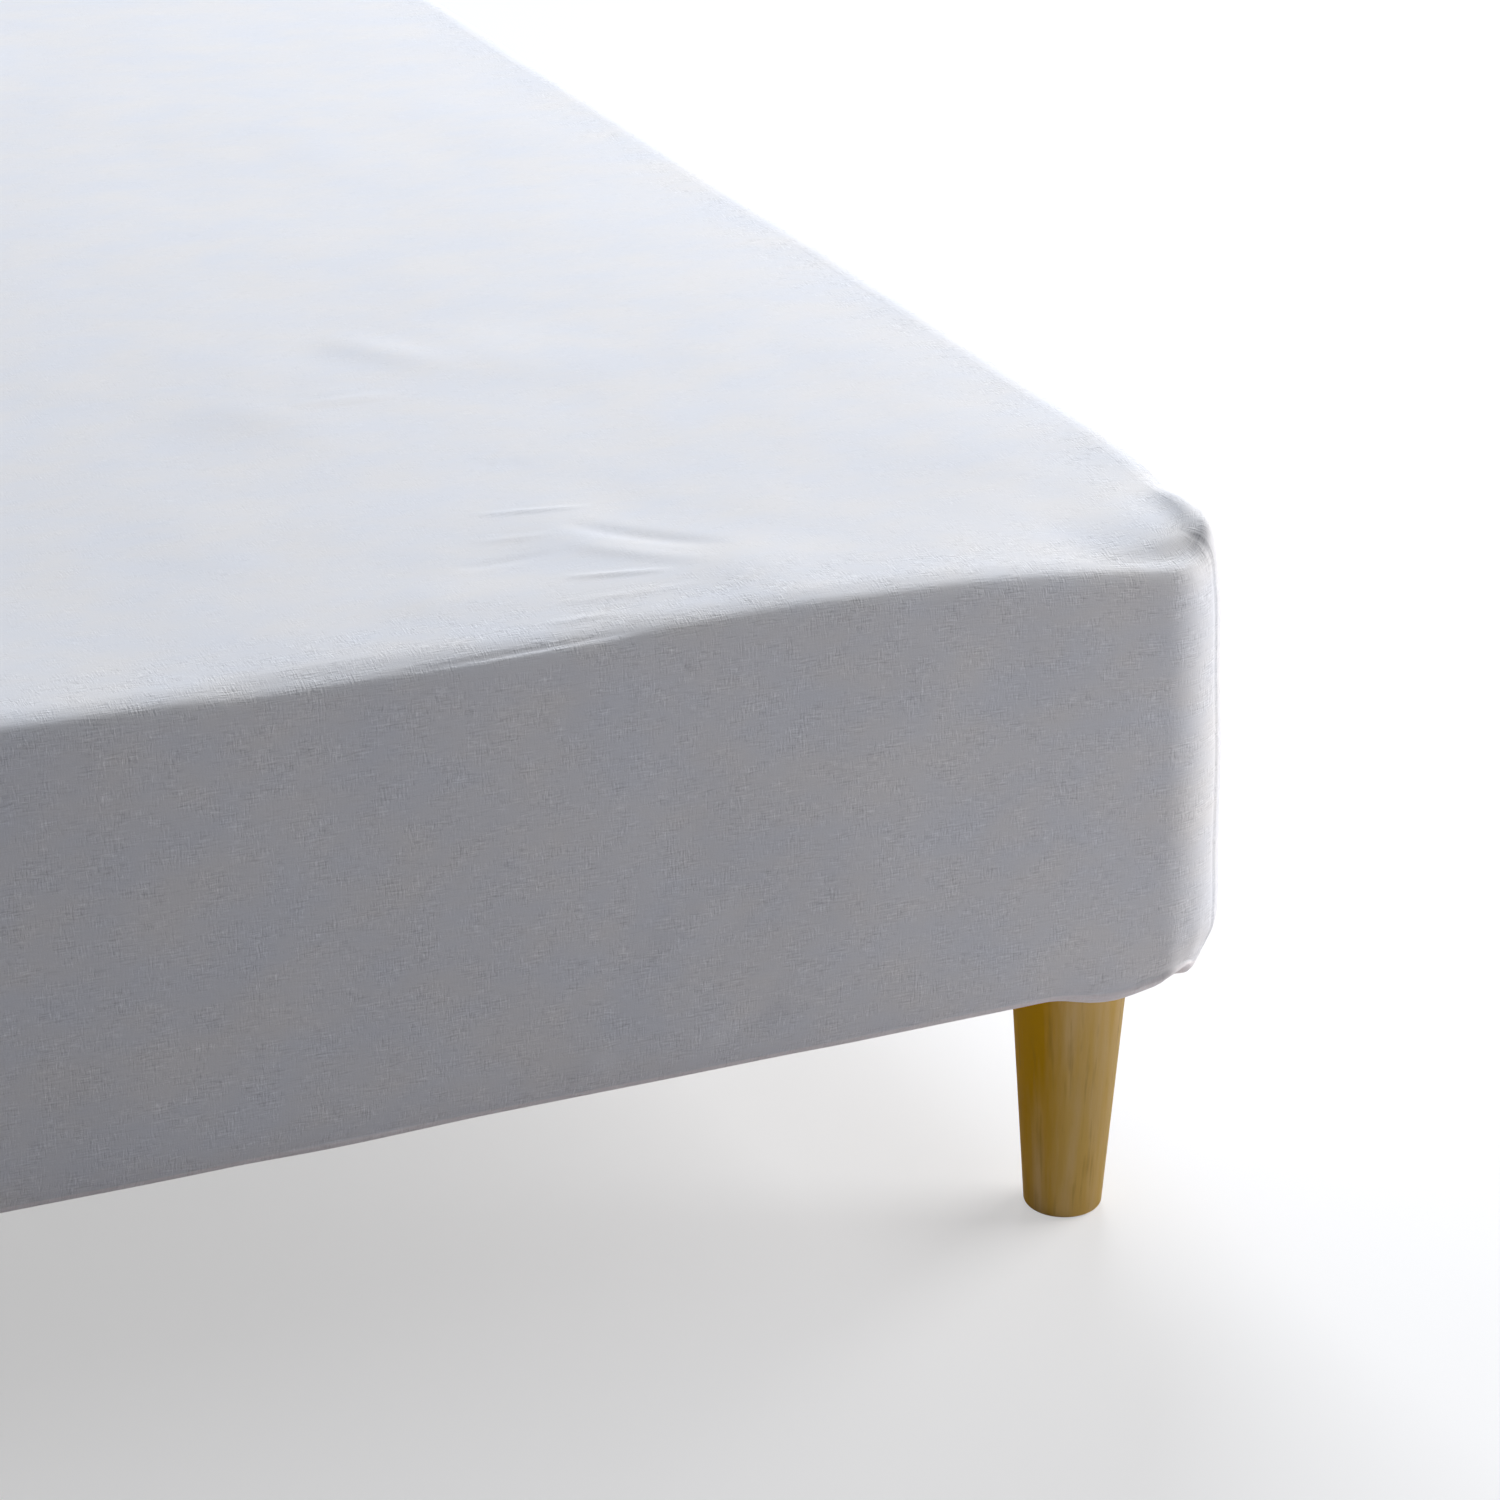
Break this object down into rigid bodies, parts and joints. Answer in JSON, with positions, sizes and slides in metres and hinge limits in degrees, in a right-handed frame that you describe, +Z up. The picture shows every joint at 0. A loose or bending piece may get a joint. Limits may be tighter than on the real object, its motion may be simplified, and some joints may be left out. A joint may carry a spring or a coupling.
{
  "type": "fitted sheet on a legged mattress",
  "caption": "Elastic-hemmed cotton bed sheet with upright corner seams, stretched over a single mattress that stands on turned, tapered wooden legs.",
  "frame": {"origin": "on the floor, under the middle of the bed", "axes": "+X across the bed to the right as seen from the foot end, +Y along it from the foot end to the head end, +Z up"},
  "size_m": [0.97, 1.95, 0.3934],
  "materials": {
    "white_cotton": "matt fine plain weave with slubs, white with a cool cast",
    "mattress_cover": "matt knitted cover",
    "natural_wood": "clear satin lacquer, upright grain"
  },
  "bodies": {
    "root": {"fitted_sheet": "white_cotton", "mattress": "mattress_cover", "leg_front_left": "natural_wood", "leg_front_right": "natural_wood", "leg_back_left": "natural_wood", "leg_back_right": "natural_wood"}
  },
  "joints": []
}
